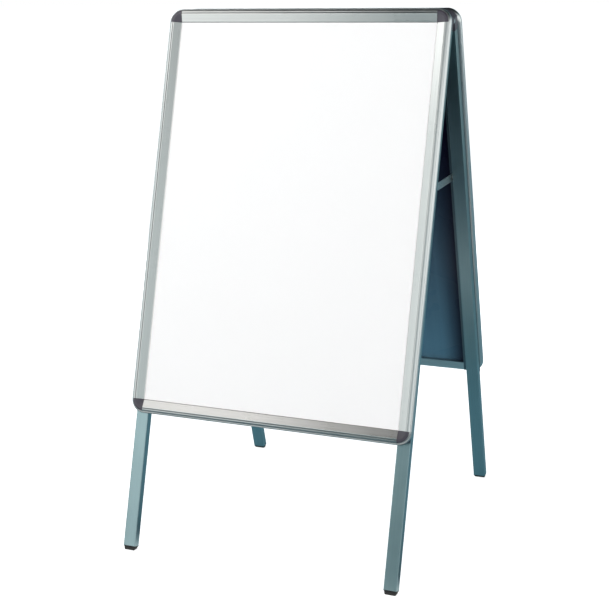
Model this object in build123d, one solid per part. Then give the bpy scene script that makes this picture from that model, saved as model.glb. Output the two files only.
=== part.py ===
"""Folding sandwich board for an A0 poster on each side.

Two snap frames stand on rectangular tube legs, hinged together at the top and held apart by a
folding stay on each side. Units are millimetres. +Z is up, X runs across the board, the front
panel faces -Y, and the origin is on the ground at the centre of the four feet.

Each panel is drawn upright in its own frame, where the top hinge's axis is the X axis, -Y is
outwards and the panel hangs down along -Z. Frame sections are drawn in (u, d): u is the distance
outwards from the edge of the visible window, and d is the distance behind the poster's face.
"""
from build123d import *
import math
import os

# ---- Sheets ----------------------------------------------------------------------------------
SHEET_WIDTH = 841.0            # A0 poster
SHEET_HEIGHT = 1189.0
LIP_OVERLAP = 10.0             # the snap rails cover this much of the poster on each side
WINDOW_WIDTH = SHEET_WIDTH - 2 * LIP_OVERLAP
WINDOW_HEIGHT = SHEET_HEIGHT - 2 * LIP_OVERLAP
BACKING_OVERLAP = 12.0
COVER_FRONT, COVER_BACK = -0.8, -0.1
POSTER_FRONT, POSTER_BACK = 0.0, 0.5
BACKING_FRONT, BACKING_BACK = 1.0, 4.0

# ---- Fixed frame section ---------------------------------------------------------------------
WALL = 1.6
BAND_CENTRE_U, BAND_CENTRE_D = 29.2, 2.5
BAND_RADIUS = 13.0             # the half-round outer edge
BAND_START_U = 28.6            # its front edge, just clear of a snap rail opened to 80 degrees
BAND_GROOVE_ANGLE = 55.0
BAND_GROOVE_RADIUS = 0.7
WEB_U = 8.0                    # the box behind the backing starts here
SHELF_D = 4.2
REAR_D = BAND_CENTRE_D + BAND_RADIUS
RAIL_WIDTH = BAND_CENTRE_U + BAND_RADIUS

# ---- Snap rail section -----------------------------------------------------------------------
PIVOT_U, PIVOT_D = 24.5, -5.2
BEAD_RADIUS = 2.0
SOCKET_BORE, SOCKET_RADIUS = 2.4, 5.1
SOCKET_OPEN_FROM, SOCKET_OPEN_TO = 245.0, 390.0
RAIL_SKIN = 1.4
LIP_FRONT, LIP_BACK = -2.3, -0.95
LIP_EDGE = -1.35               # the lip's nose slopes down to here
LIP_WIDTH = 1.6
RAIL_END_GAP = 0.5
CAP_APEX_D = -2.4
CAP_RADIUS = 34.5              # the corner caps lap over the crest of the band
CAP_BODY_RADIUS, CAP_FOOT_RADIUS = 27.7, 17.6
CAP_PROUD = 0.4
CAP_RIM = 1.6
CAP_GAP = 0.4

# ---- Legs and the top hinge ------------------------------------------------------------------
LEAN = 16.5                    # each panel's angle from upright, in degrees
LEG_WIDTH, LEG_DEPTH, LEG_WALL = 40.0, 25.0, 1.5
LEG_CORNER = 2.0
LEG_OUTER_X = 444.0
LEG_CENTRE_X = LEG_OUTER_X - LEG_WIDTH / 2
LEG_PLATE_THICK = 4.5
LEG_PLATE_INNER_X = 389.0
LEG_FRONT_D = REAR_D + LEG_PLATE_THICK
HINGE_GAP = 5.0                # from a leg's inner face to the hinge axis
HINGE_D = LEG_FRONT_D + LEG_DEPTH + HINGE_GAP
HINGE_ABOVE_WINDOW = 18.0
LEG_END_Z = -1642.0
LEG_TOP_Z = -32.0
RIVET_MARGIN = 80.0            # clear of the corner brackets
FOOT_REAR_CLEAR = 7.0          # height of the leg's lowest edge above the ground
PIVOT_HEIGHT = (-LEG_END_Z * math.cos(math.radians(LEAN))
                - HINGE_GAP * math.sin(math.radians(LEAN)) + FOOT_REAR_CLEAR)

HINGE_CAP_TOP = 24.0
KNUCKLE_RADIUS = 9.0
KNUCKLE_WIDTH = 9.0
KNUCKLE_WEB = 14.0
KNUCKLE_CLEAR = 0.4
PIN_RADIUS = 3.0
RUNNING_CLEAR = 0.05
PLUG_CLEAR = 0.2
HINGE_MEETING_GAP = 0.15

# ---- Stays -----------------------------------------------------------------------------------
STAY_DROP = 501.5              # the stay pivots' distance below the hinge, along the leg
KNEE_SAG = 7.0                 # the open stay's knee rests this far below its leg pivots
STAY_WIDTH, STAY_THICK = 23.0, 2.4
STAY_RIM, STAY_POCKET = 3.5, 1.5
STAY_BOSS = 8.0
FRONT_STAY_X = 398.0           # the inner face of the front link, and of the rear link
REAR_STAY_X = 401.0

TOP_EDGE = -HINGE_ABOVE_WINDOW
BOTTOM_EDGE = TOP_EDGE - WINDOW_HEIGHT
MIDDLE = (TOP_EDGE + BOTTOM_EDGE) / 2
SIDE_EDGE = WINDOW_WIDTH / 2
LEG_FRONT_Y = LEG_FRONT_D - HINGE_D
LEG_REAR_Y = -HINGE_GAP
LEG_MID_Y = (LEG_FRONT_Y + LEG_REAR_Y) / 2
RIVET_PITCH = (WINDOW_HEIGHT - 2 * RIVET_MARGIN) / 3
RIVET_HEIGHTS = [TOP_EDGE - RIVET_MARGIN - step * RIVET_PITCH for step in range(4)]


# ---- Helpers ---------------------------------------------------------------------------------
def rect(low_u, high_u, low_d, high_d):
    """A rectangle in a section, from its limits."""
    centre = Pos((low_u + high_u) / 2, (low_d + high_d) / 2)
    return centre * Rectangle(high_u - low_u, high_d - low_d)


def block(low, high):
    """A box from its lowest to its highest corner."""
    size = [b - a for a, b in zip(low, high)]
    return Pos(*[(a + b) / 2 for a, b in zip(low, high)]) * Box(*size)


def rod(start_x, end_x, radius, y, z):
    """A cylinder along X."""
    return Pos((start_x + end_x) / 2, y, z) * Rot(0, 90, 0) * Cylinder(radius, abs(end_x - start_x))


def stud(x, start_y, end_y, radius, z):
    """A cylinder along Y."""
    return Pos(x, (start_y + end_y) / 2, z) * Rot(90, 0, 0) * Cylinder(radius, abs(end_y - start_y))


def in_panel(d):
    """The panel's Y for a depth d behind the poster's face."""
    return d - HINGE_D


def flip_x(shape):
    return mirror(shape, about=Plane.YZ)


def flip_z(shape):
    """Turns a piece at the top of the window into the same piece at its bottom."""
    return mirror(shape, about=Plane.XY.offset(MIDDLE))


def place(shape, panel):
    """Leans an upright panel's piece to its side of the board and lifts it to the hinge's height."""
    leant = Rot(-LEAN, 0, 0) * shape
    if panel == "back":
        leant = Rot(0, 0, 180) * leant
    return Pos(0, 0, PIVOT_HEIGHT) * leant


def save(name, *shapes):
    solids = [solid for shape in shapes for solid in shape.solids()]
    export_step(Compound(children=solids) if len(solids) > 1 else solids[0], f"parts/{name}.step")


# ---- Frame sections --------------------------------------------------------------------------
def base_section(with_bead):
    """The fixed extrusion: a box behind the backing, a half-round outer edge, and the pivot bead."""
    ring = Pos(BAND_CENTRE_U, BAND_CENTRE_D) * (Circle(BAND_RADIUS) - Circle(BAND_RADIUS - WALL))
    half = rect(BAND_START_U, RAIL_WIDTH + 1, BAND_CENTRE_D - 20, BAND_CENTRE_D + 20)
    section = ring & half
    section += rect(WEB_U, BAND_CENTRE_U, REAR_D - WALL, REAR_D)
    section += rect(WEB_U, WEB_U + WALL, SHELF_D, REAR_D)
    section += rect(WEB_U, RAIL_WIDTH - WALL, SHELF_D, SHELF_D + WALL)
    angle = math.radians(BAND_GROOVE_ANGLE)
    groove_u = BAND_CENTRE_U + BAND_RADIUS * math.cos(angle)
    groove_d = BAND_CENTRE_D - BAND_RADIUS * math.sin(angle)
    section -= Pos(groove_u, groove_d) * Circle(BAND_GROOVE_RADIUS)
    if with_bead:
        section += Pos(PIVOT_U, PIVOT_D) * Circle(BEAD_RADIUS)
        section += rect(PIVOT_U - WALL / 2, PIVOT_U + WALL / 2, PIVOT_D, SHELF_D + WALL / 2)
    return section


def rail_slope():
    """The tilt of the rail's face, from its tangent to the socket's circle."""
    reach = math.hypot(PIVOT_U, LIP_FRONT - PIVOT_D)
    to_centre = math.atan2(LIP_FRONT - PIVOT_D, PIVOT_U)
    return to_centre + math.asin(SOCKET_RADIUS / reach)


def snap_section():
    """The moving extrusion: a sloping face from the lip to a C-shaped socket on the bead."""
    slope = rail_slope()
    tangent_u = PIVOT_U - SOCKET_RADIUS * math.sin(slope)
    tangent_d = PIVOT_D - SOCKET_RADIUS * math.cos(slope)
    skin_u, skin_d = RAIL_SKIN * math.sin(slope), RAIL_SKIN * math.cos(slope)
    nose = (LIP_WIDTH, LIP_FRONT - LIP_WIDTH * math.tan(slope))
    face = make_face(Polyline(
        (0, LIP_EDGE), nose, (tangent_u, tangent_d), (tangent_u + skin_u, tangent_d + skin_d),
        (skin_u, LIP_FRONT + skin_d), (0, LIP_FRONT + skin_d), close=True))
    lip = make_face(Polyline((0, LIP_EDGE), (0, LIP_BACK), (LIP_WIDTH, LIP_BACK), nose, close=True))
    return face + lip + socket_section()


def socket_section():
    """The C-shaped socket, open where the bead's stalk passes as the rail swings."""
    ring = Circle(SOCKET_RADIUS) - Circle(SOCKET_BORE)
    reach = 2 * SOCKET_RADIUS
    middle = (SOCKET_OPEN_FROM + SOCKET_OPEN_TO) / 2
    corners = [(0, 0)]
    for angle in (SOCKET_OPEN_FROM, middle, SOCKET_OPEN_TO):
        turn = math.radians(angle)
        corners.append((reach * math.cos(turn), -reach * math.sin(turn)))
    return Pos(PIVOT_U, PIVOT_D) * (ring - make_face(Polyline(*corners, close=True)))


def band_front(u):
    """The depth of the band's front surface at a distance u."""
    return BAND_CENTRE_D - math.sqrt(BAND_RADIUS ** 2 - (u - BAND_CENTRE_U) ** 2)


def corner_section():
    """The fixed extrusion at a corner, cut back in front where the corner cap laps over it."""
    front = BAND_CENTRE_D - BAND_RADIUS - 1
    return base_section(False) - rect(0, CAP_RADIUS + CAP_GAP, front, 0)


def cap_section():
    """The corner cap: a cone's face at the rails' slope, a rim over the band, and a foot."""
    crest = band_front(BAND_CENTRE_U) - CAP_PROUD
    crest_u = (CAP_APEX_D - crest) / math.tan(rail_slope())
    edge = band_front(CAP_RADIUS) - CAP_PROUD / 2
    return make_face(Polyline(
        (0, LIP_EDGE), (LIP_WIDTH, CAP_APEX_D - LIP_WIDTH * math.tan(rail_slope())),
        (crest_u, crest), (BAND_CENTRE_U + 1, crest),
        (CAP_RADIUS - 1, band_front(CAP_RADIUS - 1) - CAP_PROUD), (CAP_RADIUS, edge),
        (CAP_RADIUS, edge + CAP_RIM), (CAP_BODY_RADIUS, edge + CAP_RIM),
        (CAP_BODY_RADIUS, SHELF_D - 0.1),
        (CAP_FOOT_RADIUS, SHELF_D - 0.1), (CAP_FOOT_RADIUS, LIP_BACK), (0, LIP_BACK), close=True))


# ---- Frame pieces, in the upright panel ------------------------------------------------------
def side_member(section, gap=0.0):
    """A section run up the right side of the window."""
    length = WINDOW_HEIGHT - 2 * gap
    return Pos(SIDE_EDGE, in_panel(0), BOTTOM_EDGE + gap) * extrude(section, length, dir=(0, 0, 1))


def top_member(section, gap=0.0):
    """A section run along the top of the window."""
    across = Plane(origin=(SIDE_EDGE - gap, in_panel(0), TOP_EDGE), x_dir=(0, 0, 1), z_dir=(-1, 0, 0))
    return across * extrude(section, WINDOW_WIDTH - 2 * gap, dir=(0, 0, 1))


def corner_member(section):
    """A section turned through the top right corner, about the window's own corner."""
    turned = Rot(0, -90, 0) * revolve(section, Axis.Y, 90)
    return Pos(SIDE_EDGE, in_panel(0), TOP_EDGE) * turned


def corner_bracket():
    """A steel angle inside the frame's box at the top right corner."""
    near, far, length = 10.5, 21.0, 62.0
    low, high = in_panel(SHELF_D + WALL + 0.3), in_panel(REAR_D - WALL - 0.3)
    upright = block((SIDE_EDGE + near, low, TOP_EDGE - length), (SIDE_EDGE + far, high, TOP_EDGE + far))
    level = block((SIDE_EDGE - length, low, TOP_EDGE + near), (SIDE_EDGE + far, high, TOP_EDGE + far))
    return upright + level


def spring_section():
    """A hairpin of spring strip under the snap rail."""
    outline = Polyline((13.4, 3.6), (19.6, 3.6), (20.6, 0.5), (19.0, -2.6), (14.5, -3.4))
    return trace(outline, 0.8)


def spring_solids():
    width = 14.0
    solids = []
    strip = extrude(spring_section(), width, dir=(0, 0, 1))
    for step in (-1, 0, 1):
        height = MIDDLE + step * WINDOW_HEIGHT / 3 - width / 2
        right = Pos(SIDE_EDGE, in_panel(0), height) * strip
        solids += [right, flip_x(right)]
    for step in (-1, 1):
        start = Plane(origin=(step * WINDOW_WIDTH / 4 + width / 2, in_panel(0), TOP_EDGE),
                      x_dir=(0, 0, 1), z_dir=(-1, 0, 0))
        top = start * strip
        solids += [top, flip_z(top)]
    return solids


def sheet(overlap, front, back):
    return block((-SIDE_EDGE - overlap, in_panel(front), BOTTOM_EDGE - overlap),
                 (SIDE_EDGE + overlap, in_panel(back), TOP_EDGE + overlap))


def rivet_holes():
    return [stud(LEG_CENTRE_X, LEG_FRONT_Y - 12, LEG_FRONT_Y + 4, 2.45, z) for z in RIVET_HEIGHTS]


def leg_rivets():
    """Blind rivets that hold the right leg and its plate to the frame's rear wall."""
    frame_inside = in_panel(REAR_D - WALL)
    leg_inside = LEG_FRONT_Y + LEG_WALL
    solids = []
    for z in RIVET_HEIGHTS:
        rivet = stud(LEG_CENTRE_X, frame_inside - 1.5, frame_inside, 3.7, z)
        rivet += stud(LEG_CENTRE_X, frame_inside, leg_inside, 2.4, z)
        rivet += stud(LEG_CENTRE_X, leg_inside, leg_inside + 1.6, 4.2, z)
        solids.append(rivet)
    return solids


def leg():
    """The right leg: a rectangular tube, with holes for its rivets and the stay's pivot."""
    middle = Pos(LEG_CENTRE_X, LEG_MID_Y, LEG_END_Z)
    tube = RectangleRounded(LEG_WIDTH, LEG_DEPTH, LEG_CORNER)
    tube -= RectangleRounded(LEG_WIDTH - 2 * LEG_WALL, LEG_DEPTH - 2 * LEG_WALL, LEG_CORNER / 2)
    shape = middle * extrude(tube, LEG_TOP_Z - LEG_END_Z, dir=(0, 0, 1))
    for hole in rivet_holes():
        shape -= hole
    inner_x = LEG_OUTER_X - LEG_WIDTH
    return shape - rod(inner_x - 1, inner_x + LEG_WALL + 1, PIN_RADIUS, LEG_MID_Y, -STAY_DROP)


def leg_plate():
    """The flat bar between the frame and the right leg."""
    end = 34.0
    bar = block((LEG_PLATE_INNER_X, in_panel(REAR_D), BOTTOM_EDGE - end),
                (LEG_OUTER_X, LEG_FRONT_Y, TOP_EDGE - 2))
    for hole in rivet_holes():
        bar -= hole
    return bar


def foot():
    """A rubber plug in the leg's end, tapered below its rim. The ground cuts it level."""
    rim, taper, inside = 2.5, 20.0, 22.0
    middle = Pos(LEG_CENTRE_X, LEG_MID_Y, LEG_END_Z)
    outer = RectangleRounded(LEG_WIDTH, LEG_DEPTH, LEG_CORNER)
    inner_width, inner_depth = LEG_WIDTH - 2 * LEG_WALL, LEG_DEPTH - 2 * LEG_WALL
    plug = RectangleRounded(inner_width - 2 * PLUG_CLEAR, inner_depth - 2 * PLUG_CLEAR, LEG_CORNER / 2)
    shape = extrude(outer, -rim, dir=(0, 0, 1)) + extrude(plug, inside, dir=(0, 0, 1))
    top = Pos(0, 0, -rim) * RectangleRounded(LEG_WIDTH - 3, LEG_DEPTH - 3, LEG_CORNER)
    low = Pos(0, 0, -rim - taper) * RectangleRounded(LEG_WIDTH - 10, LEG_DEPTH - 10, LEG_CORNER)
    return middle * (shape + loft([top.face(), low.face()]))


def knuckle_spans(middle_knuckle):
    """The stretches of the hinge's axis that a cap's knuckles take, out from the leg's inner side."""
    inner_x = LEG_OUTER_X - LEG_WIDTH
    if middle_knuckle:
        return [(inner_x + KNUCKLE_WIDTH + KNUCKLE_CLEAR, LEG_OUTER_X - KNUCKLE_WIDTH - KNUCKLE_CLEAR)]
    return [(inner_x, inner_x + KNUCKLE_WIDTH), (LEG_OUTER_X - KNUCKLE_WIDTH, LEG_OUTER_X)]


def hinge_cap(middle_knuckle):
    """The moulding that closes the right leg's top and carries one leaf of the top hinge."""
    inner_x = LEG_OUTER_X - LEG_WIDTH
    body = block((inner_x, in_panel(REAR_D), TOP_EDGE - 1.6), (LEG_OUTER_X, LEG_REAR_Y, HINGE_CAP_TOP))
    body += block((inner_x, LEG_FRONT_Y, LEG_TOP_Z), (LEG_OUTER_X, LEG_REAR_Y, TOP_EDGE))
    corner = Pos(SIDE_EDGE, 0, TOP_EDGE) * Rot(90, 0, 0) * Cylinder(RAIL_WIDTH - 1.5, 4 * HINGE_D)
    below = block((inner_x - 1, -2 * HINGE_D, LEG_TOP_Z - 1), (LEG_OUTER_X + 1, 0, TOP_EDGE))
    body = body & (corner + below)
    inner_width, inner_depth = LEG_WIDTH - 2 * LEG_WALL, LEG_DEPTH - 2 * LEG_WALL
    plug = RectangleRounded(inner_width - 2 * PLUG_CLEAR, inner_depth - 2 * PLUG_CLEAR, LEG_CORNER / 2)
    body += Pos(LEG_CENTRE_X, LEG_MID_Y, LEG_TOP_Z) * extrude(plug, -25, dir=(0, 0, 1))
    # The slanted top: the two caps meet on the board's centre plane when it stands open.
    beyond = Rot(LEAN, 0, 0) * block((inner_x - 1, -HINGE_MEETING_GAP, -100), (LEG_OUTER_X + 1, 100, 100))
    above_pin = block((inner_x - 1, -60, KNUCKLE_RADIUS + 3), (LEG_OUTER_X + 1, 60, 100))
    body -= beyond & above_pin
    for start, end in knuckle_spans(not middle_knuckle):
        body -= rod(start - KNUCKLE_CLEAR, end + KNUCKLE_CLEAR, KNUCKLE_RADIUS + KNUCKLE_CLEAR, 0, 0)
    for start, end in knuckle_spans(middle_knuckle):
        body += rod(start, end, KNUCKLE_RADIUS, 0, 0)
        body += block((start, LEG_REAR_Y - 1, -KNUCKLE_WEB / 2), (end, 0, KNUCKLE_WEB / 2))
    return body - rod(inner_x - 5, LEG_OUTER_X + 5, PIN_RADIUS + RUNNING_CLEAR, 0, 0)


def hinge_pin():
    """The right hinge's pin, with a head at each end."""
    inner_x = LEG_OUTER_X - LEG_WIDTH
    head, radius, gap = 1.8, 5.5, 0.1
    pin = rod(inner_x - gap, LEG_OUTER_X + gap, PIN_RADIUS, 0, 0)
    pin += rod(inner_x - gap - head, inner_x - gap, radius, 0, 0)
    return pin + rod(LEG_OUTER_X + gap, LEG_OUTER_X + gap + head, radius, 0, 0)


# ---- Stays, on the right side of the board ---------------------------------------------------
def stay_pivot_y():
    """How far each stay pivot stands from the board's centre plane when it is open."""
    lean = math.radians(LEAN)
    return -LEG_MID_Y * math.cos(lean) + STAY_DROP * math.sin(lean)


def stay_pivot_z():
    lean = math.radians(LEAN)
    return PIVOT_HEIGHT - LEG_MID_Y * math.sin(lean) - STAY_DROP * math.cos(lean)


def stay_length():
    """The distance between a link's two pivots."""
    return math.hypot(stay_pivot_y(), KNEE_SAG)


def stay_link(inner_x):
    """One link of the stay, level, from the knee at Y = 0 to its leg pivot towards +Y."""
    length = stay_length()
    facing = Plane(origin=(inner_x, length / 2, 0), x_dir=(0, 1, 0), z_dir=(1, 0, 0))
    plate = extrude(SlotCenterToCenter(length, STAY_WIDTH), STAY_THICK)
    pocket = SlotCenterToCenter(length, STAY_WIDTH - 2 * STAY_RIM)
    pocket -= Pos(length / 2, 0) * Circle(STAY_BOSS) + Pos(-length / 2, 0) * Circle(STAY_BOSS)
    plate -= Pos(0, 0, STAY_THICK - STAY_POCKET) * extrude(pocket, STAY_THICK)
    for end in (-length / 2, length / 2):
        plate -= Pos(end, 0, 0) * Cylinder(PIN_RADIUS + RUNNING_CLEAR, 4 * STAY_THICK)
    return facing * plate


def leg_pivot_rivet(link_x):
    """The shouldered rivet that carries a link on the right leg's inner side."""
    wall_x = LEG_OUTER_X - LEG_WIDTH
    shoulder_x = link_x + STAY_THICK + 0.1
    rivet = rod(link_x - 1.7, link_x - 0.1, 5.5, LEG_MID_Y, -STAY_DROP)
    rivet += rod(link_x - 0.1, wall_x + LEG_WALL, PIN_RADIUS, LEG_MID_Y, -STAY_DROP)
    rivet += rod(shoulder_x, wall_x, 5.5, LEG_MID_Y, -STAY_DROP)
    return rivet + rod(wall_x + LEG_WALL, wall_x + LEG_WALL + 1.6, 4.5, LEG_MID_Y, -STAY_DROP)


def knee_rivet(link_x, with_head):
    """One half of the knee's rivet, inside its own link."""
    rivet = rod(link_x, link_x + STAY_THICK, PIN_RADIUS, 0, 0)
    if with_head:
        rivet += rod(link_x - 1.6, link_x, 5.5, 0, 0)
    return rivet


# ---- Build and write -------------------------------------------------------------------------
def write_panel(panel):
    own_side = {"right": 1, "left": -1} if panel == "front" else {"right": -1, "left": 1}
    base, snap = base_section(True), snap_section()
    right_base = side_member(base)
    for hole in rivet_holes():
        right_base -= hole
    sided = {"base_rail": right_base, "snap_rail": side_member(snap, RAIL_END_GAP),
             "leg": leg(), "hinge_cap": hinge_cap(middle_knuckle=panel == "back")}
    for side, sign in own_side.items():
        for kind, shape in sided.items():
            save(f"{panel}_{side}_{kind}", place(shape if sign > 0 else flip_x(shape), panel))
    for kind, shape in {"base_rail": top_member(base), "snap_rail": top_member(snap, RAIL_END_GAP)}.items():
        save(f"{panel}_top_{kind}", place(shape, panel))
        save(f"{panel}_bottom_{kind}", place(flip_z(shape), panel))

    def both_sides(shape):
        return [place(shape, panel), place(flip_x(shape), panel)]

    band, cap, bracket = corner_member(corner_section()), corner_member(cap_section()), corner_bracket()
    save(f"{panel}_top_corner_bands", *both_sides(band))
    save(f"{panel}_bottom_corner_bands", *both_sides(flip_z(band)))
    save(f"{panel}_corner_caps", *both_sides(cap), *both_sides(flip_z(cap)))
    save(f"{panel}_corner_brackets", *both_sides(bracket), *both_sides(flip_z(bracket)))
    save(f"{panel}_snap_springs", *[place(solid, panel) for solid in spring_solids()])
    save(f"{panel}_cover_sheet", place(sheet(LIP_OVERLAP, COVER_FRONT, COVER_BACK), panel))
    save(f"{panel}_poster", place(sheet(LIP_OVERLAP, POSTER_FRONT, POSTER_BACK), panel))
    save(f"{panel}_backing_sheet", place(sheet(BACKING_OVERLAP, BACKING_FRONT, BACKING_BACK), panel))
    save(f"{panel}_leg_plates", *both_sides(leg_plate()))
    save(f"{panel}_leg_rivets", *[half for rivet in leg_rivets() for half in both_sides(rivet)])
    link_x = FRONT_STAY_X if panel == "front" else REAR_STAY_X
    save(f"{panel}_stay_pivots", *both_sides(leg_pivot_rivet(link_x)))
    ground = block((-2000, -2000, -200), (2000, 2000, 0))
    save(f"{panel}_feet", *[shape - ground for shape in both_sides(foot())])


def write_hinge_pins():
    pin = Pos(0, 0, PIVOT_HEIGHT) * hinge_pin()
    save("right_hinge_pin", pin)
    save("left_hinge_pin", flip_x(pin))


def write_stays():
    """The open stays sag to their knees, which are on the board's centre plane."""
    at_knee = Pos(0, 0, stay_pivot_z() - KNEE_SAG)
    tilt = math.degrees(math.asin(KNEE_SAG / stay_length()))
    for panel, link_x in (("front", FRONT_STAY_X), ("back", REAR_STAY_X)):
        link = at_knee * (Rot(tilt, 0, 0) * stay_link(link_x))
        if panel == "front":
            link = mirror(link, about=Plane.XZ)
        knee = at_knee * knee_rivet(link_x, with_head=panel == "front")
        for side, turn in (("right", lambda shape: shape), ("left", flip_x)):
            save(f"{panel}_{side}_stay_link", turn(link))
            save(f"{panel}_{side}_knee_rivet", turn(knee))


os.makedirs("parts", exist_ok=True)
for panel_name in ("front", "back"):
    write_panel(panel_name)
write_hinge_pins()
write_stays()
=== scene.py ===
"""Looks, light and camera for the folding sandwich board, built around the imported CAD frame."""

import math

import bpy
from mathutils import Matrix, Vector

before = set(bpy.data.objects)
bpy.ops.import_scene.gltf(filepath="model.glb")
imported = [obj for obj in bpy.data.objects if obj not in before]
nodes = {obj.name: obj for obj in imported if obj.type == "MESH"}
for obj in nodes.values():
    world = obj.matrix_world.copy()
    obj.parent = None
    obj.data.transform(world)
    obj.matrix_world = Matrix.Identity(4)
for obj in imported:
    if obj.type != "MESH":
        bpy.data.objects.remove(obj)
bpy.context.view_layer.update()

MM = 0.001
LEAN = 16.5  # degrees each panel leans from upright
SIDES = ("left", "right")
ACROSS, UPRIGHT = 0, 2  # the axis an extrusion runs on, in its panel's own directions
scene = bpy.context.scene


# ---------------------------------------------------------------- camera

CAMERA_PLACE = (1.5135, -3.7005, 1.6935)
CAMERA_YAW, CAMERA_PITCH, CAMERA_ROLL = 22.682, 13.974, -0.715  # to the left, down, tilt
CAMERA_LENS, SENSOR_WIDTH = 76.54, 36.0

camera_data = bpy.data.cameras.new("camera")
camera_data.sensor_width = SENSOR_WIDTH
camera_data.lens = CAMERA_LENS
camera = bpy.data.objects.new("camera", camera_data)
scene.collection.objects.link(camera)
camera.matrix_world = (
    Matrix.Translation(CAMERA_PLACE)
    @ Matrix.Rotation(math.radians(CAMERA_YAW), 4, "Z")
    @ Matrix.Rotation(math.radians(90 - CAMERA_PITCH), 4, "X")
    @ Matrix.Rotation(math.radians(CAMERA_ROLL), 4, "Z")
)
scene.camera = camera
scene.view_settings.view_transform = "Standard"


# ---------------------------------------------------------------- node helpers

BEVEL_SAMPLES = 4
EDGE_FACING = (0.86, 0.99)  # how far a rolled normal still agrees with the face: edge, flat


class Graph:
    """A material's node tree, with short calls that add one node each and return its output."""

    def __init__(self, name):
        self.material = bpy.data.materials.new(name)
        self.material.use_nodes = True
        self.tree = self.material.node_tree
        self.tree.nodes.clear()
        self.shader = self.tree.nodes.new("ShaderNodeBsdfPrincipled")
        out = self.tree.nodes.new("ShaderNodeOutputMaterial")
        self.tree.links.new(self.shader.outputs["BSDF"], out.inputs["Surface"])

    def add(self, kind, output, settings=(), **inputs):
        """One node: its settings, then its inputs by name or by number (as i0, i1)."""
        node = self.tree.nodes.new(kind)
        for key, value in dict(settings).items():
            setattr(node, key, value)
        for key, value in inputs.items():
            numbered = key[0] == "i" and key[1:].isdigit()
            self.put(node.inputs[int(key[1:]) if numbered else key], value)
        return node.outputs[output]

    def put(self, socket, value):
        """A link from another node, or a constant; a colour may leave out its alpha."""
        if isinstance(value, bpy.types.NodeSocket):
            self.tree.links.new(value, socket)
        elif socket.type == "RGBA" and len(value) == 3:
            socket.default_value = (*value, 1.0)
        else:
            socket.default_value = value

    def set(self, **inputs):
        """The shader's own sockets."""
        for key, value in inputs.items():
            self.put(self.shader.inputs[key.replace("_", " ")], value)

    def place(self, turn=0.0, scale=(1.0, 1.0, 1.0)):
        """Object coordinates, turned about X into a leaning panel's own directions and scaled."""
        coords = self.add("ShaderNodeTexCoord", "Object")
        turned = self.add(
            "ShaderNodeMapping", "Vector", Vector=coords, Rotation=(math.radians(turn), 0.0, 0.0)
        )
        return self.add("ShaderNodeMapping", "Vector", Vector=turned, Scale=scale)

    def axis(self, letter):
        """One object coordinate, in metres."""
        return self.add(
            "ShaderNodeSeparateXYZ", letter, Vector=self.add("ShaderNodeTexCoord", "Object")
        )

    def maths(self, operation, *values):
        numbered = {f"i{place}": value for place, value in enumerate(values)}
        return self.add("ShaderNodeMath", "Value", {"operation": operation}, **numbered)

    def noise(self, vector, scale, detail=3.0, roughness=0.55):
        return self.add(
            "ShaderNodeTexNoise",
            "Fac",
            Vector=vector,
            Scale=scale,
            Detail=detail,
            Roughness=roughness,
        )

    def span(self, value, low, high, start=0.3, end=0.7):
        """value, stretched from start..end to low..high."""
        return self.add(
            "ShaderNodeMapRange", "Result", i0=value, i1=start, i2=end, i3=low, i4=high
        )

    def tint(self, value, low, high, start=0.3, end=0.7):
        """A colour that runs from low to high as value goes from start to end."""
        node = self.tree.nodes.new("ShaderNodeValToRGB")
        self.tree.links.new(value, node.inputs["Fac"])
        ramp = node.color_ramp
        ramp.elements[0].position, ramp.elements[0].color = start, (*low, 1.0)
        ramp.elements[1].position, ramp.elements[1].color = end, (*high, 1.0)
        return node.outputs["Color"]

    def blend(self, factor, first, second):
        return self.add(
            "ShaderNodeMix", 2, {"data_type": "RGBA"}, i0=factor, i6=first, i7=second
        )

    def bump(self, height, distance, strength, normal=None):
        extra = {} if normal is None else {"Normal": normal}
        return self.add(
            "ShaderNodeBump", "Normal", Height=height, Distance=distance, Strength=strength, **extra
        )

    def rounded(self, radius):
        """Normals that roll over each edge, as a deburred or moulded edge does."""
        return self.add("ShaderNodeBevel", "Normal", {"samples": BEVEL_SAMPLES}, Radius=radius)

    def edge(self, radius):
        """About 0 on a flat face, rising towards 1 within radius of an edge."""
        rolled = self.rounded(radius)
        flat = self.add("ShaderNodeNewGeometry", "Normal")
        agreement = self.add(
            "ShaderNodeVectorMath", "Value", {"operation": "DOT_PRODUCT"}, i0=rolled, i1=flat
        )
        return self.span(agreement, 1.0, 0.0, *EDGE_FACING)


def scaled(colour, by, lift=0.0):
    """The colour multiplied, then lifted, and kept below white."""
    return tuple(min(1.0, c * by + lift) for c in colour)


def shades(colour, spread):
    """The colour a little darker and a little lighter."""
    return scaled(colour, 1 - spread), scaled(colour, 1 + spread)


# ---------------------------------------------------------------- materials


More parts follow.
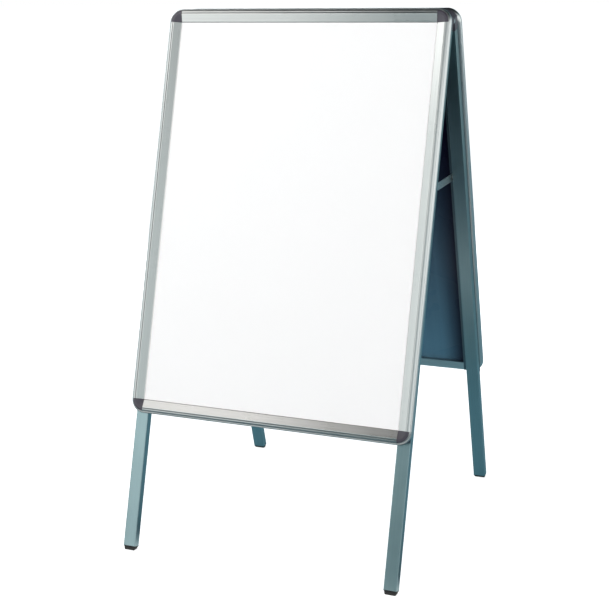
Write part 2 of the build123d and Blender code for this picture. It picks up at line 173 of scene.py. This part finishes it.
def aluminium(name, colour, roughness, turn, along):
    """Satin anodised extrusion: die lines along its length, handling marks, brighter edges."""
    g = Graph(name)
    stretch = [1.0, 1.0, 1.0]
    stretch[along] = 0.004
    drawn = g.place(turn, stretch)
    lines = g.noise(drawn, 900.0, detail=2.0, roughness=0.6)
    bands = g.noise(drawn, 160.0, detail=2.0, roughness=0.5)
    whole = g.place(turn)
    marks = g.noise(whole, 9.0, detail=4.0, roughness=0.6)
    specks = g.noise(whole, 700.0, detail=2.0, roughness=0.5)
    streaked = g.blend(
        0.4, g.tint(marks, *shades(colour, 0.045)), g.tint(bands, *shades(colour, 0.09))
    )
    worn = g.span(g.edge(0.5 * MM), low=0.0, high=0.35, start=0.2, end=1.0)
    lined = g.bump(lines, 0.035 * MM, strength=0.6, normal=g.rounded(0.35 * MM))
    g.set(
        Base_Color=g.blend(worn, streaked, scaled(colour, 1.18, lift=0.03)),
        Metallic=1.0,
        Roughness=g.span(g.blend(0.5, marks, lines), roughness - 0.05, roughness + 0.06),
        Normal=g.bump(specks, 0.02 * MM, strength=0.25, normal=lined),
    )
    return g.material


def moulded(name, colour, roughness):
    """Injection-moulded plastic: a fine spark-eroded grain, a few scuffs, paler rubbed edges."""
    g = Graph(name)
    whole = g.place()
    cloud = g.noise(whole, 22.0, detail=3.0, roughness=0.6)
    grain = g.noise(whole, 1500.0, detail=2.0, roughness=0.6)
    scuffs = g.noise(g.place(scale=(1.0, 0.35, 2.2)), 120.0, detail=6.0, roughness=0.75)
    scuffed = g.span(scuffs, low=0.0, high=0.5, start=0.6, end=0.78)
    rubbed = g.span(g.edge(0.7 * MM), low=0.0, high=0.45, start=0.2, end=1.0)
    body = g.blend(
        scuffed, g.tint(cloud, *shades(colour, 0.12)), scaled(colour, 1.25, lift=0.012)
    )
    g.set(
        Base_Color=g.blend(rubbed, body, scaled(colour, 1.45, lift=0.02)),
        Roughness=g.span(scuffs, roughness - 0.05, roughness + 0.12),
        Specular_IOR_Level=0.5,
        Normal=g.bump(grain, 0.03 * MM, strength=0.5, normal=g.rounded(0.6 * MM)),
    )
    return g.material


def rubber(name):
    """Soft black plug: dull, a little dusty, scuffed where it stands on the ground."""
    black, dusty, scuffed = (0.012, 0.012, 0.013), (0.05, 0.048, 0.045), (0.055, 0.052, 0.048)
    g = Graph(name)
    whole = g.place()
    dust = g.noise(whole, 60.0, detail=5.0, roughness=0.7)
    texture = g.noise(whole, 900.0, detail=3.0, roughness=0.6)
    body = g.blend(g.span(dust, low=0.0, high=0.3, start=0.45, end=0.75), black, dusty)
    foot = g.span(g.axis("Z"), low=0.55, high=0.0, start=0.0, end=9 * MM)
    g.set(
        Base_Color=g.blend(foot, body, scuffed),
        Roughness=g.span(dust, 0.62, 0.85),
        Specular_IOR_Level=0.35,
        Normal=g.bump(texture, 0.06 * MM, strength=0.6, normal=g.rounded(0.8 * MM)),
    )
    return g.material


def sheet_plastic(name):
    """Dark styrene backing with long faint flow marks.

    Its shade is painted in: teal low down, near black high up and beside the legs. The real
    sheet is probably one dark colour in uneven light."""
    low = (0.120, 0.235, 0.325), (0.140, 0.270, 0.365)
    high = (0.003, 0.002, 0.024), (0.004, 0.003, 0.032)
    beside_legs, dusty = (0.010, 0.004, 0.024), (0.09, 0.10, 0.11)
    g = Graph(name)
    flow = g.noise(g.place(scale=(1.0, 0.06, 0.06)), 34.0, detail=3.0, roughness=0.5)
    wave = g.noise(g.place(), 5.0, detail=2.0, roughness=0.5)
    texture = g.noise(g.place(), 1100.0, detail=2.0, roughness=0.6)
    dust = g.noise(g.place(), 260.0, detail=5.0, roughness=0.8)
    upward = g.span(g.axis("Z"), low=0.0, high=1.0, start=0.5, end=1.25)
    outward = g.span(g.maths("ABSOLUTE", g.axis("X")), low=0.0, high=0.93, start=0.315, end=0.385)
    base = g.blend(upward, g.tint(flow, *low), g.tint(flow, *high))
    base = g.blend(outward, base, beside_legs)
    g.set(
        Base_Color=g.blend(g.span(dust, low=0.0, high=0.12, start=0.62, end=0.8), base, dusty),
        Roughness=g.span(wave, 0.24, 0.34),
        Specular_IOR_Level=0.15,
        Normal=g.bump(texture, 0.02 * MM, strength=0.35, normal=g.bump(wave, 1.2 * MM, 0.35)),
    )
    return g.material


def paper(name):
    """Coated poster paper: white, with a soft fibre cloud and very slight waves.

    A warm glow of its own, which real paper hasn't, lifts it to pure white in this cool studio."""
    glow_colour, glow = (1.0, 0.84, 0.835), 0.33
    g = Graph(name)
    cloud = g.noise(g.place(), 240.0, detail=5.0, roughness=0.65)
    fibre = g.noise(g.place(scale=(1.0, 0.3, 0.3)), 2600.0, detail=3.0, roughness=0.7)
    wave = g.noise(g.place(), 3.2, detail=1.0, roughness=0.4)
    g.set(
        Base_Color=g.tint(cloud, (0.955, 0.95, 0.945), (0.97, 0.965, 0.96)),
        Emission_Color=glow_colour,
        Emission_Strength=glow,
        Roughness=g.span(fibre, 0.5, 0.62),
        Normal=g.bump(wave, 0.3 * MM, strength=0.2),
    )
    return g.material


def clear_film(name):
    """Clear anti-glare cover: almost invisible, with a soft gloss and fine wipe marks."""
    g = Graph(name)
    haze = g.noise(g.place(), 7.0, detail=3.0, roughness=0.6)
    wipes = g.noise(g.place(20.0, (1.0, 0.12, 0.5)), 90.0, detail=5.0, roughness=0.7)
    wave = g.noise(g.place(), 4.0, detail=1.5, roughness=0.4)
    g.set(
        Base_Color=g.tint(haze, (0.95, 0.96, 0.96), (0.97, 0.975, 0.975)),
        Roughness=g.span(wipes, 0.16, 0.24),
        IOR=1.49,
        Alpha=0.06,
        Normal=g.bump(wave, 0.1 * MM, strength=0.1),
    )
    return g.material


def steel(name, colour, roughness):
    """Bright zinc-plated steel strip or rod: rolled lines, a faint spangle, darker specks, and a
    painted highlight along its edges.
    """
    g = Graph(name)
    lines = g.noise(g.place(scale=(1.0, 0.018, 1.0)), 700.0, detail=2.0)
    spangle = g.add("ShaderNodeTexVoronoi", "Color", Vector=g.place(), Scale=420.0, Randomness=1.0)
    patch = g.add("ShaderNodeRGBToBW", "Val", Color=spangle)
    specks = g.noise(g.place(), 380.0, detail=6.0, roughness=0.8)
    plated = g.tint(patch, *shades(colour, 0.10), start=0.1, end=0.9)
    speckle = g.span(specks, low=0.0, high=0.5, start=0.62, end=0.8)
    speckled = g.blend(speckle, plated, scaled(colour, 0.55))
    g.set(
        # Much lighter within 0.8 mm of each edge: a painted highlight along the edges.
        Base_Color=g.blend(g.edge(0.8 * MM), speckled, scaled(colour, 1.6)),
        Metallic=1.0,
        Roughness=g.span(patch, roughness - 0.06, roughness + 0.08, start=0.1, end=0.9),
        Normal=g.bump(lines, 0.02 * MM, strength=0.5, normal=g.rounded(0.3 * MM)),
    )
    return g.material


RAIL = (0.53, 0.525, 0.515)
BAND = (0.51, 0.51, 0.505)
LEG = (0.27, 0.355, 0.37)
PLATE = (0.12, 0.15, 0.17)
CORNER = (0.085, 0.070, 0.090)
HINGE = (0.080, 0.068, 0.086)
STEEL = (0.50, 0.52, 0.53)
SPRING = (0.42, 0.42, 0.44)
RAIL_ROUGHNESS, PLATE_ROUGHNESS, LEG_ROUGHNESS = 0.30, 0.36, 0.34

corner_plastic = moulded("corner_plastic_grained", CORNER, roughness=0.34)
hinge_plastic = moulded("hinge_plastic_grained", HINGE, roughness=0.38)
foot_rubber = rubber("foot_rubber_dusty")
backing = sheet_plastic("backing_plastic_flowed")
poster = paper("poster_paper_coated")
cover = clear_film("clear_cover_film")
stay_steel = steel("stay_steel_plated", STEEL, roughness=0.32)
rivet_steel = steel("rivet_steel_plated", STEEL, roughness=0.34)
spring_steel = steel("spring_steel_rolled", SPRING, roughness=0.3)

extrusions = {}


def finish_extrusion(piece, kind, colour, roughness, panel, along):
    """Aluminium on one piece: pieces of one kind that run the same way share a material."""
    direction = "across" if along == ACROSS else "upright"
    key = f"{kind}_{panel}_{direction}"
    if key not in extrusions:
        turn = LEAN if panel == "front" else -LEAN
        extrusions[key] = aluminium(key, colour, roughness, turn, along)
    nodes[f"{panel}_{piece}"].data.materials[0] = extrusions[key]


plain_finishes = {
    "corner_caps": corner_plastic,
    "corner_brackets": spring_steel,
    "snap_springs": spring_steel,
    "cover_sheet": cover,
    "poster": poster,
    "backing_sheet": backing,
    "leg_rivets": rivet_steel,
    "stay_pivots": rivet_steel,
    "feet": foot_rubber,
}
for side in SIDES:
    plain_finishes[f"{side}_hinge_cap"] = hinge_plastic
    plain_finishes[f"{side}_stay_link"] = stay_steel
    plain_finishes[f"{side}_knee_rivet"] = rivet_steel

rails = {"top": ACROSS, "bottom": ACROSS, "left": UPRIGHT, "right": UPRIGHT}
for panel in ("front", "back"):
    for side, along in rails.items():
        finish_extrusion(f"{side}_snap_rail", "snap_rail", RAIL, RAIL_ROUGHNESS, panel, along)
        finish_extrusion(f"{side}_base_rail", "frame_rail", BAND, RAIL_ROUGHNESS, panel, along)
    for end in ("top", "bottom"):
        bands = f"{end}_corner_bands"
        finish_extrusion(bands, "frame_rail", BAND, RAIL_ROUGHNESS, panel, ACROSS)
    finish_extrusion("leg_plates", "leg_plate", PLATE, PLATE_ROUGHNESS, panel, UPRIGHT)
    for side in SIDES:
        finish_extrusion(f"{side}_leg", "leg", LEG, LEG_ROUGHNESS, panel, UPRIGHT)
    for piece, material in plain_finishes.items():
        nodes[f"{panel}_{piece}"].data.materials[0] = material
for side in SIDES:
    nodes[f"{side}_hinge_pin"].data.materials[0] = rivet_steel


# ---------------------------------------------------------------- floor and ground

WHITE = (1.0, 1.0, 1.0)
FLOOR_HALF, GROUND_HALF = 90, 9  # metres from the middle to an edge
GROUND_DROP = 0.002
# How much the floor glows by itself: near the board, then well away from it, by metres out.
NEAR_GLOW, NEAR_REACH = 0.75, 0.8
FAR_GLOW, FAR_REACH = 1.0, 3.2

# On the ground, -Y is in front of the board and the leg ends stand near 0.5 m either way.
APRON_START, APRON_END = (-0.37, -0.46), (-0.58, -0.68)  # where the white strip fades in, out
APRON_GLOW = 0.6
PALER_START = (-0.35, -0.25)  # where the darker cloth turns paler, under the board
UNDER_GLOW, UNDER_START = 0.22, (-0.38, 0.12)  # teal glow, fading in under the board and on behind
APRON_WHITE, PALER_CLOTH = (0.92, 0.92, 0.91), (0.19, 0.345, 0.395)
APRON_LIGHT, UNDER_LIGHT = (1.0, 1.0, 0.99), (0.38, 0.79, 1.0)


def flat_square(name, half, height):
    mesh = bpy.data.meshes.new(name)
    corners = [(x * half, y * half, height) for x, y in ((-1, -1), (1, -1), (1, 1), (-1, 1))]
    mesh.from_pydata(corners, [], [(0, 1, 2, 3)])
    obj = bpy.data.objects.new(name, mesh)
    scene.collection.objects.link(obj)
    return obj


floor = flat_square("floor", FLOOR_HALF, 0)
pale = Graph("floor_pale")
out_from_middle = pale.add(
    "ShaderNodeVectorMath", "Value", {"operation": "LENGTH"}, i0=pale.place()
)
cloud = pale.noise(pale.place(), 0.6, detail=3.0)
pale.set(
    Base_Color=pale.tint(cloud, (0.88, 0.88, 0.88), (0.91, 0.91, 0.91)),
    Roughness=0.85,
    Specular_IOR_Level=0.1,
    Emission_Color=WHITE,
    Emission_Strength=pale.span(out_from_middle, NEAR_GLOW, FAR_GLOW, NEAR_REACH, FAR_REACH),
)
floor.data.materials.append(pale.material)
floor.visible_diffuse = floor.visible_glossy = floor.visible_shadow = False

# Under the pale floor lies a second ground that only reflections and bounced light see. It
# colours what the metal mirrors: dark cloth, a white strip at the front feet, a teal glow behind.
ground = flat_square("studio_ground", GROUND_HALF, -GROUND_DROP)
slate = Graph("ground_slate")
depth = slate.axis("Y")
apron = slate.maths(
    "MULTIPLY",
    slate.span(depth, 0.0, 1.0, *APRON_START),
    slate.span(depth, 1.0, 0.0, *APRON_END),
)
cloud = slate.noise(slate.place(), 0.8, detail=3.0)
dark_cloth = slate.tint(cloud, (0.105, 0.200, 0.24), (0.12, 0.220, 0.265))
cloth = slate.blend(slate.span(depth, 0.0, 1.0, *PALER_START), dark_cloth, PALER_CLOTH)
slate.set(
    Base_Color=slate.blend(apron, cloth, APRON_WHITE),
    Emission_Color=slate.blend(apron, UNDER_LIGHT, APRON_LIGHT),
    Emission_Strength=slate.maths(
        "MAXIMUM",
        slate.span(depth, 0.0, UNDER_GLOW, *UNDER_START),
        slate.span(apron, 0.0, APRON_GLOW, 0.0, 1.0),
    ),
    Roughness=0.9,
    Specular_IOR_Level=0.1,
)
ground.data.materials.append(slate.material)
ground.visible_camera = False


# ---------------------------------------------------------------- light

WARM = (1.0, 0.985, 0.965)


def softbox(name, azimuth, distance, width, base, top, radiance, aim=None, colour=WARM):
    """An upright rectangular soft light from height base to top, facing the board or aim.

    Azimuth 0 is in front of the board and a negative one is to its left."""
    data = bpy.data.lights.new(name, "AREA")
    data.shape = "RECTANGLE"
    data.size, data.size_y = width, top - base
    data.energy = radiance * math.pi * width * (top - base)
    data.color = colour
    light = bpy.data.objects.new(name, data)
    scene.collection.objects.link(light)
    around = math.radians(azimuth)
    place = Vector((math.sin(around) * distance, -math.cos(around) * distance, (base + top) / 2))
    facing = place - (Vector(aim) if aim else Vector((0.0, 0.0, place.z)))
    light.location = place
    light.rotation_mode = "QUATERNION"
    light.rotation_quaternion = facing.to_track_quat("Z", "Y")
    light.visible_camera = False


FRONT_FACE = (0.0, -0.3, 0.8)
softbox("key", -32.0, distance=4.2, width=2.0, base=0.1, top=4.0, radiance=1.48)
softbox("left", -71.0, distance=4.2, width=3.7, base=0.1, top=4.6, radiance=0.9)
softbox("fill", 10.0, distance=5.5, width=2.8, base=0.6, top=5.6, radiance=0.78)
softbox("side", 54.0, distance=4.5, width=5.2, base=0.4, top=4.2, radiance=1.38)
softbox("far_side", 109.0, distance=4.5, width=4.2, base=0.6, top=3.6, radiance=1.35)
softbox("rear", 215.0, distance=5.0, width=4.6, base=0.6, top=3.9, radiance=3.4, colour=WHITE)
softbox("overhead", -46.0, distance=2.4, width=1.9, base=2.5, top=3.9, radiance=1.7, aim=FRONT_FACE)

# The room: teal low down and dark overhead by the upward part of a ray's direction, and plain
# white where the camera sees past the floor.
ROOM_LOW, ROOM_LOW_COLOUR = 0.38, (0.20, 0.33, 0.36, 1.0)
ROOM_HIGH, ROOM_HIGH_COLOUR = 0.66, (0.012, 0.015, 0.017, 1.0)

world = bpy.data.worlds.new("studio")
scene.world = world
world.use_nodes = True
sky = world.node_tree
sky.nodes.clear()
direction = sky.nodes.new("ShaderNodeTexCoord")
parts = sky.nodes.new("ShaderNodeSeparateXYZ")
ramp = sky.nodes.new("ShaderNodeValToRGB")
room = sky.nodes.new("ShaderNodeBackground")
wall = sky.nodes.new("ShaderNodeBackground")
seen = sky.nodes.new("ShaderNodeLightPath")
pick = sky.nodes.new("ShaderNodeMixShader")
sky_out = sky.nodes.new("ShaderNodeOutputWorld")
low_stop, high_stop = ramp.color_ramp.elements
low_stop.position, low_stop.color = ROOM_LOW, ROOM_LOW_COLOUR
high_stop.position, high_stop.color = ROOM_HIGH, ROOM_HIGH_COLOUR
wall.inputs["Color"].default_value = (*WHITE, 1.0)
sky.links.new(direction.outputs["Generated"], parts.inputs[0])
sky.links.new(parts.outputs["Z"], ramp.inputs["Fac"])
sky.links.new(ramp.outputs["Color"], room.inputs["Color"])
sky.links.new(seen.outputs["Is Camera Ray"], pick.inputs[0])
sky.links.new(room.outputs[0], pick.inputs[1])
sky.links.new(wall.outputs[0], pick.inputs[2])
sky.links.new(pick.outputs[0], sky_out.inputs["Surface"])
